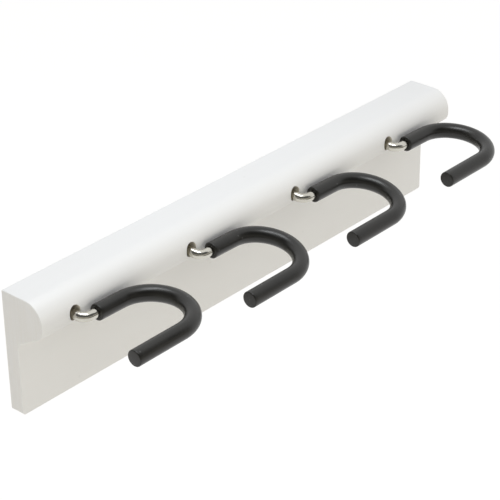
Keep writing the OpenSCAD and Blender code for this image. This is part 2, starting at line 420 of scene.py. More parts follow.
@dataclass(frozen=True)
class RawTimber(Finish):
    """Bare timber in the cuts. In the slots, a cream lighter and warmer than the enamel paints the light near
    the mouths, and its fade to brown inwards is partly bare timber and partly painted shade.
    """

    tone: Mix = Mix(grain=1.0)
    sheen: Mix = Mix(grain=1.0)
    grain_scale: float = 1400.0
    paint: Triple = (0.96, 0.91, 0.8)
    mouth: float = -34.6 * MM
    paint_reach: Pair = (16.0 * MM, 24.0 * MM)
    ragged_scale: float = 700.0
    ragged_depth: float = 2.0 * MM

    def surface(self, board: NodeBoard, tone: NodeSocket, specks: NodeSocket) -> NodeSocket:
        """Blends the timber's colours, with cream paint over them near the mouths, as painted light there and
        painted shade deeper in.

        Args:
            board: the material's board.
            tone: share of the second colour.
            specks: mask of the specks, which timber doesn't show.

        Returns:
            The colour's socket.
        """
        place = board.place()
        timber = board.blend(tone, self.colour, self.second_colour)
        ragged = board.math("MULTIPLY", board.noise(place, self.ragged_scale), self.ragged_depth)
        # Painted shade, in part: the colour goes from the light cream to brown timber with depth into the
        # slots.
        depth = board.math("SUBTRACT", board.split(place)[1], self.mouth)
        bare = board.between(board.math("ADD", depth, ragged), *self.paint_reach)
        return board.blend(bare, self.paint, timber)


@dataclass(frozen=True)
class Plating(Finish):
    """Bright or dull metal plate with fine lines along its grain, small pits and soft patches of tarnish."""

    sheen: Mix = Mix(grain=0.6, patches=0.4)
    relief: Mix = Mix(grain=1.0, specks=-0.6)
    grain_scale: float = 2500.0
    speck_colour: Triple = (0.2, 0.18, 0.15)
    metallic: float = 1.0


@dataclass(frozen=True)
class Rubber(Finish):
    """Matt black sleeving with extrusion lines along it, a fine tooth and a little dust."""

    sheen: Mix = Mix(patches=0.5, tooth=0.5)
    relief: Mix = Mix(grain=0.35, tooth=0.65)
    grain: Axis = Axis.WRAPPED
    attribute: str = WRAP
    patch_scale: float = 70.0
    speck_scale: float = 420.0
    speck_share: float = 0.05
    speck_strength: float = 0.2
    tooth_scale: float = 3200.0


class Palette:
    """Every material of the rack, built once."""

    def __init__(self) -> None:
        """Builds the materials."""
        effects = Effects()
        white = (0.885, 0.888, 0.885)
        self.enamel = Enamel(
            "satin_enamel", white, (0.872, 0.869, 0.86), (0.4, 0.46), 0.004 * MM).build(effects)
        self.primer = Enamel(
            "primed_back", (0.86, 0.85, 0.81), (0.64, 0.56, 0.43), (0.55, 0.75), 0.06 * MM,
            grain_scale=260.0, tone=Mix(grain=0.5, patches=0.5)).build(effects)
        self.end_enamel = Enamel(
            "end_grain_enamel", white, (0.84, 0.825, 0.79), (0.4, 0.5), 0.03 * MM,
            grain=Axis.UPRIGHT, grain_scale=700.0, tone=Mix(grain=0.4, patches=0.4)).build(effects)
        self.timber = RawTimber(
            "raw_timber", (0.86, 0.73, 0.52), (0.75, 0.61, 0.41), (0.6, 0.85), 0.12 * MM).build(effects)
        self.nickel = Plating(
            "bright_nickel", (0.6, 0.585, 0.53), (0.53, 0.51, 0.45), (0.12, 0.22), 0.003 * MM,
            grain=Axis.WRAPPED, grain_scale=2200.0, attribute=WRAP, speck_share=0.015).build(effects)
        self.rubber = Rubber(
            "black_sleeving", (0.0064, 0.006, 0.0046), (0.0096, 0.009, 0.007), (0.28, 0.38),
            0.008 * MM).build(effects)
        self.zinc = Plating(
            "zinc_plate", (0.56, 0.58, 0.59), (0.4, 0.41, 0.41), (0.28, 0.48), 0.01 * MM,
            patch_scale=220.0).build(effects)
        self.screw_zinc = Plating(
            "screw_zinc", (0.66, 0.62, 0.5), (0.54, 0.48, 0.36), (0.22, 0.42), 0.006 * MM,
            patch_scale=320.0).build(effects)
        # Painted shade: the screws' cross recesses get this dark metal in place of the shade inside them.
        self.recess = Plating(
            "grimy_recess", (0.14, 0.125, 0.1), (0.07, 0.062, 0.05), (0.5, 0.7), 0.02 * MM,
            patch_scale=900.0).build(effects)


# Outlines


def arc(centre: Pair, radius: float, start: float, end: float, steps: int) -> list[Pair]:
    """Gives the points of an arc between two bearings in degrees, as so many chords."""
    bearings = [math.radians(start + (end - start) * k / steps) for k in range(steps + 1)]
    return [(centre[0] + radius * math.cos(b), centre[1] + radius * math.sin(b)) for b in bearings]


def stadium(low: Pair, high: Pair, width: float, steps: int = 16) -> list[Pair]:
    """Gives the outline of a bar with round ends about two centres, counter-clockwise."""
    heading = math.degrees(math.atan2(high[1] - low[1], high[0] - low[0]))
    return (arc(high, width / 2, heading - 90, heading + 90, steps)
            + arc(low, width / 2, heading + 90, heading + 270, steps))


def circle(centre: Pair, radius: float, steps: int = 24) -> list[Pair]:
    """Gives the outline of a circle, counter-clockwise."""
    return arc(centre, radius, 0, 360, steps)[:-1]


def rectangle(low: Pair, high: Pair) -> list[Pair]:
    """Gives the outline of a rectangle between two corners, counter-clockwise."""
    return [low, (high[0], low[1]), high, (low[0], high[1])]


# Mesh helpers


def mesh_object(name: str, points: Iterable[Sequence[float]], edges: Sequence[Sequence[int]] = (),
                faces: Sequence[Sequence[int]] = (), materials: Iterable[Material] = ()) -> Object:
    """Puts a mesh in the scene.

    Args:
        name: name of the object and its mesh.
        points: its points.
        edges: pairs of points that loose edges join.
        faces: points of each face.
        materials: its materials in order.

    Returns:
        The object, at the origin.
    """
    mesh = bpy.data.meshes.new(name)
    mesh.from_pydata([tuple(point) for point in points], edges, faces)
    for material in materials:
        mesh.materials.append(material)
    thing = bpy.data.objects.new(name, mesh)
    bpy.context.scene.collection.objects.link(thing)
    return thing


def mend(mesh: Mesh) -> None:
    """Merges a mesh's doubles and points its faces outwards.

    Args:
        mesh: the mesh.
    """
    form = bmesh.new()
    form.from_mesh(mesh)
    bmesh.ops.remove_doubles(form, verts=form.verts, dist=WELD)
    bmesh.ops.recalc_face_normals(form, faces=form.faces)
    form.to_mesh(mesh)
    form.free()


def shade(mesh: Mesh, sharp_degrees: float) -> None:
    """Shades a mesh smooth, but for edges sharper than an angle."""
    mesh.shade_smooth()
    mesh.set_sharp_from_angle(angle=math.radians(sharp_degrees))


def solid(name: str, shells: Iterable[Sequence[Ring]], materials: Iterable[Material]) -> Object:
    """Makes closed shells through rings of points, with a flat face on each end.

    Args:
        name: name of the object.
        shells: the rings of each shell in order, all with as many points.
        materials: materials of the object, of which its faces get the first.

    Returns:
        One object with all the shells; each has its sides first, ring by ring, and then its two ends.
    """
    points, faces = [], []
    for rings in shells:
        loops = []
        for ring in rings:
            loops.append(list(range(len(points), len(points) + len(ring))))
            points += ring
        for near, far in zip(loops, loops[1:]):
            faces += zip(near, near[1:] + near[:1], far[1:] + far[:1], far)
        faces += [loops[0], loops[-1]]
    thing = mesh_object(name, points, [], faces, materials)
    mend(thing.data)
    return thing


def prisms(name: str, blocks: Iterable[Block], material: Material) -> Object:
    """Makes blocks that run along Y into one object."""
    shells = [[[(x, y, z + lift) for x, z in block.outline]
               for y, lift in ((block.near, 0.0), (block.far, block.rise))] for block in blocks]
    return solid(name, shells, [material])


def turned(name: str, profile: Sequence[Pair], places: Iterable[Pair], material: Material,
           segments: int = 32) -> Object:
    """Makes turned blocks about axes along Y, from depths in front of the wall plane and radii there."""
    shells = [[[(x, -depth, z) for x, z in circle(place, radius, segments)] for depth, radius in profile]
              for place in places]
    return solid(name, shells, [material])


def discard(thing: Object) -> None:
    """Removes an object and its mesh from the file.

    Args:
        thing: the object.
    """
    spent = thing.data
    bpy.data.objects.remove(thing)
    bpy.data.meshes.remove(spent)


def settle(thing: Object) -> None:
    """Turns an object's modifiers into plain mesh and removes them.

    Args:
        thing: the object; its mesh is replaced.
    """
    graph = bpy.context.evaluated_depsgraph_get()
    plain = bpy.data.meshes.new_from_object(thing.evaluated_get(graph))
    thing.modifiers.clear()
    spent = thing.data
    plain.name = thing.name
    thing.data = plain
    bpy.data.meshes.remove(spent)


def carve(thing: Object, cutters: dict[str, Object]) -> None:
    """Cuts blocks out of an object and leaves it as plain mesh.

    Args:
        thing: the object, which may have modifiers already.
        cutters: the blocks by the names of their cuts; they are removed.
    """
    for label, cutter in cutters.items():
        cut = thing.modifiers.new(label, "BOOLEAN")
        cut.operation = "DIFFERENCE"
        cut.solver = "EXACT"
        cut.material_mode = "TRANSFER"
        cut.object = cutter
    settle(thing)
    for cutter in cutters.values():
        discard(cutter)


def hand_over(piece: Object, node: str, body: str) -> Object:
    """Puts a finished piece in the place of its node.

    Args:
        piece: the piece.
        node: the node that it replaces.
        body: the body that it rides on.

    Returns:
        The same piece.
    """
    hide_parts(node)
    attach(piece, body)
    return piece


# Geometry Nodes


class GrowthTree:
    """A geometry tree that grows a piece on the points and edges of the object that it modifies."""

    def __init__(self, name: str, inputs: dict[str, str]) -> None:
        """Starts the tree.

        Args:
            name: name of the tree.
            inputs: names and types of its inputs after the geometry.
        """
        kind = "Geometry"
        self.board, self.given = node_group("GeometryNodeTree", name, {kind: kind, **inputs}, (kind, kind))

    def close(self, grown: NodeSocket, **selection: NodeSocket) -> None:
        """Realizes what has grown, gives it its material and ends the tree.

        Args:
            grown: socket of what has grown.
            selection: socket of the faces that get the material, where those aren't all.
        """
        board, material = self.board, self.given["Material"]
        real = board.use("GeometryNodeRealizeInstances", Geometry=grown)
        dressed = board.use("GeometryNodeSetMaterial", Geometry=real, Material=material, **selection)
        board.feed(board.add("NodeGroupOutput"), Geometry=dressed)

    def grow(self, name: str, points: Iterable[Sequence[float]], edges: Sequence[Sequence[int]],
             values: dict[str, object]) -> Object:
        """Grows one piece.

        Args:
            name: name of the piece.
            points: the points that it grows on.
            edges: pairs of points that are joined.
            values: values of the tree's inputs by name.

        Returns:
            The piece as plain mesh.
        """
        tree = self.board.tree
        piece = mesh_object(name, points, edges)
        modifier = piece.modifiers.new(tree.name, "NODES")
        modifier.node_group = tree
        for item in tree.interface.items_tree:
            if item.name in values:
                modifier[item.identifier] = values[item.name]
        settle(piece)
        return piece


class SkinTree(GrowthTree):
    """A tree that wraps a round skin on a path, from a list of stations.

    The modified object is the path. Each vertex of the stations object holds a distance along the path as its
    X and the skin's radius there as its Y. The skin keeps its run and girth in an attribute for grain.
    """

    sharp: ClassVar[float] = 34.0

    def __init__(self) -> None:
        """Builds the tree."""
        super().__init__("skin_on_path", {"Stations": "Object", "Station count": "Int", "Segments": "Int",
                                          "Mean radius": "Float", "Material": "Material"})
        board, given = self.board, self.given
        path = board.use("GeometryNodeMeshToCurve", Mesh=given["Geometry"])
        stations = board.feed(board.add("GeometryNodeObjectInfo"), Object=given["Stations"])
        grid = board.use("GeometryNodeMeshGrid", Size_X=1.0, Size_Y=1.0, Vertices_X=given["Station count"],
                         Vertices_Y=board.math("ADD", given["Segments"], 1.0))
        position = board.use("GeometryNodeInputPosition")
        # The grid's rows and columns run from -0.5 to 0.5.
        row, column, _ = board.split(position)
        last = board.math("SUBTRACT", given["Station count"], 1.0)
        which = board.math("ROUND", board.math("MULTIPLY", board.math("ADD", row, 0.5), last))
        angle = board.math("MULTIPLY", board.math("ADD", column, 0.5), 2 * math.pi)
        pick = board.add("GeometryNodeSampleIndex", data_type="FLOAT_VECTOR")
        board.feed(pick, Geometry=stations.outputs["Geometry"], Value=position, Index=which)
        along, radius, _ = board.split(pick.outputs[0])
        spot = board.add("GeometryNodeSampleCurve", mode="LENGTH", use_all_curves=True)
        board.feed(spot, Curves=path, Length=along)
        normal = spot.outputs["Normal"]
        across = board.vector("CROSS_PRODUCT", spot.outputs["Tangent"], normal)
        outward = board.vector("ADD", board.scaled(normal, board.math("COSINE", angle)),
                               board.scaled(across, board.math("SINE", angle)))
        place = board.vector("ADD", spot.outputs["Position"], board.scaled(outward, radius))
        girth = board.math("MULTIPLY", angle, given["Mean radius"])
        marked = board.add("GeometryNodeStoreNamedAttribute", data_type="FLOAT_VECTOR", domain="CORNER")
        board.feed(marked, Geometry=grid, Name=WRAP,
                   Value=board.use("ShaderNodeCombineXYZ", X=along, Y=girth, Z=radius))
        moved = board.use("GeometryNodeSetPosition", Geometry=marked.outputs[0], Position=place)
        self.close(board.use("GeometryNodeMergeByDistance", Geometry=moved, Distance=WELD))

    def skin(self, name: str, path: Sequence[Vector], stations: Sequence[Pair], segments: int,
             material: Material) -> Object:
        """Wraps one skin.

        Args:
            name: name of the piece.
            path: points of the path.
            stations: distance along the path and radius, in order along the skin.
            segments: faces round the girth.
            material: material of the skin.

        Returns:
            The piece as plain mesh.
        """
        guide = mesh_object(name + "_stations", [(along, radius, 0.0) for along, radius in stations])
        piece = self.grow(name, path, [(k, k + 1) for k in range(len(path) - 1)], {
            "Stations": guide, "Station count": len(stations), "Segments": segments,
            "Mean radius": max(radius for _, radius in stations), "Material": material})
        discard(guide)
        mend(piece.data)
        shade(piece.data, self.sharp)
        return piece


class ScrewTree(GrowthTree):
    """A tree that stands a screw on each vertex of the modified object, each with its own turn."""

    most_turn: ClassVar[float] = math.pi / 2

    def __init__(self) -> None:
        """Builds the tree."""
        super().__init__("screws_on_points", {"Screw": "Object", "Seed": "Int", "Most turn": "Float",
                                              "Material": "Material"})
        board, given = self.board, self.given
        screw = board.feed(board.add("GeometryNodeObjectInfo"), Object=given["Screw"])
        chance = board.add("FunctionNodeRandomValue", data_type="FLOAT")
        # Inputs 2 and 3 are the least and the most of a float.
        board.feed(chance, i2=0.0, i3=given["Most turn"], Seed=given["Seed"])
        turn = board.use("ShaderNodeCombineXYZ", Y=chance.outputs[1])
        stood = board.use("GeometryNodeInstanceOnPoints", Points=given["Geometry"],
                          Instance=screw.outputs["Geometry"], Rotation=turn)
        self.close(stood, Selection=board.use("GeometryNodeMaterialSelection", Material=given["Material"]))

    def stand(self, name: str, pattern: Object, tops: Iterable[Triple], seed: int,
              material: Material) -> Object:
        """Stands a screw with its head's top at each place, and gives them as one plain mesh."""
        values = {"Screw": pattern, "Seed": seed, "Most turn": self.most_turn, "Material": material}
        return self.grow(name, tops, [], values)


# The rail


@dataclass
class Rail:
    """The moulded timber rail with its slots, and the cuts behind it for hinges and hangers."""

    left: float = -194.0 * MM
    length: float = 405.0 * MM
    bottom: float = -58.0 * MM
    height: float = 86.0 * MM
    nose_depth: float = 34.6 * MM
    plate: float = 11.0 * MM
    nose_top_radius: float = 14.0 * MM
    nose_low_radius: float = 8.0 * MM
    nose_flat: float = 2.5 * MM
    slope: float = 29.0
    cove_radius: float = 6.0 * MM
    corner_radius: float = 3.2 * MM
    arris_radius: float = 1.5 * MM
    back_round: float = 0.7 * MM
    end_round: float = 0.5 * MM
    end_round_steps: int = 3
    back_steps: int = 6
    arris_steps: int = 8
    cove_steps: int = 12
    nose_low_steps: int = 20
    nose_top_steps: int = 36
    corner_steps: int = 10
    slot_steps: int = 20
    slot_width: float = 8.8 * MM
    slot_half: float = 5.1563 * MM
    slot_offset: float = 0.3 * MM
    past: float = 2.0 * MM
    sharp: float = 32.0

    def section(self) -> list[Pair]:
        """Gives the rail's section.

        Returns:
            Points of depth from the wall and height above the rail's bottom, counter-clockwise from the back.
        """
        slope = math.radians(self.slope)
        normal = (math.sin(slope), -math.cos(slope))
        top = (self.nose_depth - self.nose_top_radius, self.height - self.nose_top_radius)
        low = (self.nose_depth - self.nose_low_radius, top[1] - self.nose_flat)
        start = (low[0] + self.nose_low_radius * normal[0], low[1] + self.nose_low_radius * normal[1])
        foot = start[1] - (start[0] - self.plate) * math.tan(slope)
        lift = math.tan(slope) - 1 / math.cos(slope)
        cove = (self.plate + self.cove_radius, foot + self.cove_radius * lift)
        back, arris = self.back_round, self.arris_radius
        return (arc((back, back), back, 180, 270, self.back_steps)
                + arc((self.plate - arris, arris), arris, 270, 360, self.arris_steps)
                + arc(cove, self.cove_radius, 180, 90 + self.slope, self.cove_steps)
                + arc(low, self.nose_low_radius, self.slope - 90, 0, self.nose_low_steps)
                + arc(top, self.nose_top_radius, 0, 90, self.nose_top_steps)
                + arc((back, self.height - back), back, 90, 180, self.back_steps))

    def moulding(self, palette: Palette) -> Object:
        """Makes the uncut moulding with rounded end edges.

        Args:
            palette: the rack's materials, for the long faces, the sawn ends and the back.

        Returns:
            The moulding.
        """
        outline = self.section()
        count = len(outline)
        inward = []
        for before, after in zip(outline[-1:] + outline[:-1], outline[1:] + outline[:1]):
            run = Vector((after[0] - before[0], after[1] - before[1])).normalized()
            inward.append((-run.y, run.x))
        steps = arc((self.end_round, self.end_round), self.end_round, 180, 270, self.end_round_steps)
        spots = [(self.left + inset, shrink) for inset, shrink in steps]
        spots += [(self.left + self.length - inset, shrink) for inset, shrink in reversed(steps)]
        rings = [[(x, -(d + shrink * n[0]), self.bottom + h + shrink * n[1])
                  for (d, h), n in zip(outline, inward)] for x, shrink in spots]
        rail = solid("painted_rail", [rings], [palette.enamel, palette.end_enamel, palette.primer])
        sides = count * (len(rings) - 1)
        ends, back = 1, 2
        for face in rail.data.polygons:
            if face.index >= sides:
                face.material_index = ends
            elif face.index % count == count - 1:
                face.material_index = back
        return rail

    def corner_waste(self, front: float) -> list[Block]:
        """Gives what the rounds of the two lower corners take off.

        Args:
            front: place on Y where the cuts end in front of the nose.

        Returns:
            The two cuts.
        """
        radius, past = self.corner_radius, self.past
        points = arc((radius, radius), radius, 180, 270, self.corner_steps)
        points += [(radius, -past), (-past, -past), (-past, radius)]
        outlines = [[(end + way * x, self.bottom + z) for x, z in points]
                    for end, way in ((self.left, 1), (self.left + self.length, -1))]
        return [Block(outline, past, front) for outline in outlines]

    def slot(self, hook: "Hook", front: float) -> Block:
        """Gives a hook's slot, which slopes with the hook at half travel.

        Args:
            hook: the hook that passes through it.
            front: place on Y where the cut ends in front of the nose.

        Returns:
            The cut.
        """
        slope = hook.droop - math.radians(hook.lift / 2)
        back = hook.hinge.y - hook.hinge_bend / 2
        x = hook.hinge.x - self.slot_offset
        z = hook.hinge.z - (hook.hinge.y - back) * math.tan(slope)
        end = self.slot_half / math.cos(slope) - self.slot_width / 2
        outline = stadium((x, z - end), (x, z + end), self.slot_width, self.slot_steps)
        return Block(outline, back, front, (front - back) * math.tan(slope))

    def build(self, palette: Palette, hooks: Sequence["Hook"], fittings: "BackFittings") -> Object:
        """Makes the rail with all its cuts.

        Args:
            palette: the rack's materials.
            hooks: the hooks, which say where slots and hinge cuts go.
            fittings: the plates behind the rail, which say where their seats and screws go.

        Returns:
            The finished rail.
        """
        rail = self.moulding(palette)
        front = -self.nose_depth - self.past
        cuts = {
            "corners": self.corner_waste(front),
            "slots": [self.slot(hook, front) for hook in hooks],
            "bend_rooms": [hook.bend_room(self) for hook in hooks],
            "leg_grooves": [hook.leg_groove(self) for hook in hooks],
            "seats": [plate.seat(self) for plate, _ in fittings.sets()],
            "hanger_rooms": [hanger.room(self) for hanger in fittings.hangers],
            "bores": [bore for plate, screw in fittings.sets() for bore in plate.bores(self, screw)],
        }
        painted = {"corners": palette.enamel}
        carve(rail, {label: prisms(label, blocks, painted.get(label, palette.timber))
                     for label, blocks in cuts.items()})
        shade(rail.data, self.sharp)
        return hand_over(rail, "rail", Body.RACK.value)


# The hooks


class PlanePath:
    """A path drawn in a hook's own plane as straight runs and bends, with marks along it."""

    def __init__(self, start: Pair, heading: float) -> None:
        """Starts the path.

        Args:
            start: first point.
            heading: first heading in degrees.
        """
        self.points = [start]
        self.heading = heading
        self.length = 0.0
        self.stops = [0.0]

    def _reach(self, point: Pair) -> None:
        """Adds a point and counts the length.

        Args:
            point: the point.
        """
        self.length += math.dist(self.points[-1], point)
        self.points.append(point)
        self.stops.append(self.length)

    def straight(self, length: float, steps: int = 4) -> float:
        """Adds a straight run.

        Args:
            length: its length.
            steps: chords that it is split into.

        Returns:
            The path's length so far.
        """
        x, y = self.points[-1]
        way = math.radians(self.heading)
        for k in range(1, steps + 1):
            self._reach((x + length * k / steps * math.cos(way), y + length * k / steps * math.sin(way)))
        return self.length

    def bend(self, radius: float, turn: float, step: float = 3.0) -> float:
        """Adds a bend.

        Args:
            radius: its radius.
            turn: its turn in degrees, positive to the left.
            step: turn of each chord in degrees.

        Returns:
            The path's length so far.
        """
        x, y = self.points[-1]
        bearing = self.heading - math.copysign(90, turn)
        outward = math.radians(bearing)
        centre = (x - radius * math.cos(outward), y - radius * math.sin(outward))
        for point in arc(centre, radius, bearing, bearing + turn, math.ceil(abs(turn) / step))[1:]:
            self._reach(point)
        self.heading += turn
        return self.length


@dataclass
class Hook:
    """One sleeved J hook: a bent nickel rod that hinges behind the rail, and the sleeve on its arms."""

    number: int
    hinge: Vector
    rest_height: float = 11.6 * MM
    hinge_to_front: float = 28.925 * MM
    rod_radius: float = 3.175 * MM
    rod_segments: int = 40
    hinge_leg: float = 30.0 * MM
    hinge_bend: float = 6.0 * MM
    lift: float = 6.0
    shank_end: float = 30.0894 * MM
    root_bend: float = 6.0 * MM
    splay: float = 1.0
    bare: float = 4.3 * MM
    inner_leg: float = 21.0 * MM
    bend_radius: float = 25.2 * MM
    outer_leg: float = 40.0 * MM
    sleeve_radius: float = 5.5 * MM
    sleeve_segments: int = 48
    bore_radius: float = 3.275 * MM
    tip: float = 1.5 * MM
    rod_bevel: float = 0.6 * MM
    lip: float = 0.7 * MM
    inner_steps: int = 8
    outer_steps: int = 12
    mouth_steps: int = 4
    lip_steps: int = 5
    tip_steps: int = 6
    strap_reach: Pair = (-11.0 * MM, 39.0 * MM)
    strap_lap: float = 1.2 * MM
    play: float = 0.3 * MM
    seat_play: float = 0.1 * MM

    @property
    def droop(self) -> float:
        """Droop of the hook at rest, in radians, from its hinge's height above the slot's rest."""
        return math.atan((self.hinge.z - self.rest_height) / self.hinge_to_front)

    def place(self, along: float, out: float) -> Vector:
        """Gives a point from its distances along the rail and out from the hinge, in the hook's plane."""
        return self.hinge + Vector((along, -out * math.cos(self.droop), -out * math.sin(self.droop)))

    def path(self) -> tuple[PlanePath, float]:
        """Draws the rod's centre line from the hidden end of the hinge leg to the end of the sleeve.

        Returns:
            The path and the distance along it at which the sleeve starts.
        """
        line = PlanePath((self.hinge_leg, 0.0), 180.0)
        line.straight(self.hinge_leg - self.hinge_bend)
        line.bend(self.hinge_bend, -90.0)
        line.straight(self.shank_end - self.hinge_bend)
        line.bend(self.root_bend, self.splay - 90.0)
        sleeve_start = line.straight(self.bare)
        line.straight(self.inner_leg, self.inner_steps)
        line.bend(self.bend_radius, 180.0 - self.splay)
        line.straight(self.outer_leg, self.outer_steps)
        return line, sleeve_start

    def rod_stations(self, line: PlanePath) -> list[Pair]:
        """Gives the rod's radii along its path, with a bevel at the hidden end and a cut free end.

        Args:
            line: the rod's path.

        Returns:
            Distances along the path and radii.
        """
        end = line.length - self.tip - self.seat_play
        bevel, edge, radius = self.rod_bevel, self.rod_bevel / 2, self.rod_radius
        runs = [(s, radius) for s in line.stops if bevel < s < end - edge]
        return [(0.0, 0.0), (0.0, radius - bevel), (bevel, radius), *runs,
                (end - edge, radius), (end, radius - edge), (end, 0.0)]

    def sleeve_stations(self, line: PlanePath, start: float) -> list[Pair]:
        """Gives the sleeve's radii: from the floor of its bore to its mouth, then outside to its closed tip.

        Args:
            line: the rod's path.
            start: distance along the path at which the sleeve starts.

        Returns:
            Distances along the path and radii.
        """
        end = line.length
        floor = end - self.tip
        lip, bore, outer = self.lip, self.bore_radius, self.sleeve_radius
        mouth = lip / 2
        runs = [s for s in line.stops if start + lip < s < floor]
        inside = [(floor, 0.0), (floor, bore), *((s, bore) for s in reversed(runs))]
        rim = arc((start + mouth, bore + mouth), mouth, 270, 180, self.mouth_steps)
        rim += arc((start + lip, outer - lip), lip, 180, 90, self.lip_steps)
        outside = [(s, outer) for s in runs]
        closed = arc((end - lip, outer - lip), lip, 90, 0, self.tip_steps)
        return [*inside, *rim, *outside, *closed, (end, 0.0)]

    def build(self, palette: Palette, skins: SkinTree) -> list[Object]:
        """Makes the rod and the sleeve.

        Args:
            palette: the rack's materials.
            skins: the tree that wraps skins on paths.

        Returns:
            The rod and the sleeve.
        """
        line, start = self.path()
        points = [self.place(*point) for point in line.points]
        rod = skins.skin(f"nickel_rod_{self.number}", points, self.rod_stations(line), self.rod_segments,
                         palette.nickel)
        sleeve = skins.skin(f"rubber_sleeve_{self.number}", points, self.sleeve_stations(line, start),
                            self.sleeve_segments, palette.rubber)
        body = Body.HOOK.of(self.number)
        return [hand_over(rod, f"hook_rod_{self.number}", body),
                hand_over(sleeve, f"grip_sleeve_{self.number}", body)]

    def room(self, rail: Rail, left: float, right: float, half: float, depth: float) -> Block:
        """Gives a cut in the rail's back, from how far it goes from the hinge each way along, up and in."""
        x, y, z = self.hinge
        return Block(rectangle((x - left, z - half), (x + right, z + half)), rail.past, y - depth)

    def bend_room(self, rail: Rail) -> Block:
        """Gives the room of the hinge bend behind the slot.

        Args:
            rail: the rail that it is cut into.

        Returns:
            The cut.
        """
        half = self.strap().width / 2 - self.strap_lap
        reach = self.hinge_bend + self.play
        return self.room(rail, rail.slot_offset + rail.slot_width / 2 + self.play, reach, half, reach)

    def leg_groove(self, rail: Rail) -> Block:
        """Gives the groove of the hinge leg."""
        half = self.rod_radius + self.play
        return self.room(rail, 0.0, self.hinge_leg + self.play, half, half)

    def strap(self) -> "Plate":
        """Gives the strap that holds the hook's hinge leg, with a screw at each end."""
        ends = tuple((self.hinge.x + reach, self.hinge.z) for reach in self.strap_reach)
        return Plate(f"hinge_strap_{self.number}", f"strap_screws_{self.number}", ends, seed=self.number)


# Plates and screws


@dataclass
class WoodScrew:
    """A countersunk wood screw with a cross recess, drawn with its head on Y = 0 and its tip forward."""

    name: str
    head: float
    shank: float
    length: float
    pitch: float = 1.1 * MM
    plain_run: float = 1.5 * MM
    rim: float = 0.15 * MM
    core_share: float = 0.7
    tip_share: float = 0.25
    cross_width_share: float = 0.16
    cross_length_share: float = 0.6
    cross_depth_share: float = 0.6
    ridge_slope: float = 4.0
    steps_a_pitch: int = 8
    segments: int = 24
    sharp: float = 30.0

    @property
    def neck(self) -> float:
        """Depth at which the head's cone runs into the shank."""
        return (self.head - self.shank) / 2

    def radius(self, depth: float, turn: float) -> float:
        """Gives the screw's radius.

        Args:
            depth: depth below the top of the head.
            turn: place round the screw, as a share of a turn.

        Returns:
            The radius there.
        """
        if depth <= self.neck:
            return self.head / 2 - max(depth, self.rim)
        full = self.shank / 2
        core = full * self.core_share
        phase = (depth / self.pitch - turn) % 1.0
        ridge = max(0.0, 1.0 - self.ridge_slope * abs(phase - 0.5))
        started = min(1.0, max(0.0, (depth - self.neck - self.plain_run) / self.pitch))
        body = full + started * (core + (full - core) * ridge - full)
        tapered = min(1.0, (self.length - depth) / self.shank)
        return body * (self.tip_share + (1.0 - self.tip_share) * tapered)

    def ring(self, depth: float) -> Ring:
        """Gives the points of the screw's surface at a depth."""
        turns = [(self.radius(depth, k / self.segments), 2 * math.pi * k / self.segments)
                 for k in range(self.segments)]
        return [(radius * math.cos(angle), -depth, radius * math.sin(angle)) for radius, angle in turns]

    def cross(self) -> list[Pair]:
        """Gives the outline of the cross recess.

        Returns:
            Its twelve corners, counter-clockwise.
        """
        long, short = (self.head * share / 2 for share in (self.cross_length_share, self.cross_width_share))
        arm = [(short, short), (short, long), (-short, long)]
        corners = []
        for _ in range(4):
            corners += arm
            arm = [(-y, x) for x, y in arm]
        return corners

    def build(self, material: Material, recess: Material) -> Object:
        """Makes the screw as a pattern for the tree that places it.

        Args:
            material: material of the screw.
            recess: material of the cross recess, dark as painted shade.

        Returns:
            The pattern, which is removed once all screws stand.
        """
        run = self.length - self.neck
        count = math.ceil(run / self.pitch * self.steps_a_pitch)
        depths = [0.0, self.rim, *(self.neck + run * k / count for k in range(count + 1))]
        screw = solid(self.name, [[self.ring(depth) for depth in depths]], [material])
        bottom = -self.neck * self.cross_depth_share
        carve(screw, {"cross": prisms("cross", [Block(self.cross(), self.rim, bottom)], recess)})
        mend(screw.data)
        shade(screw.data, self.sharp)
        return screw


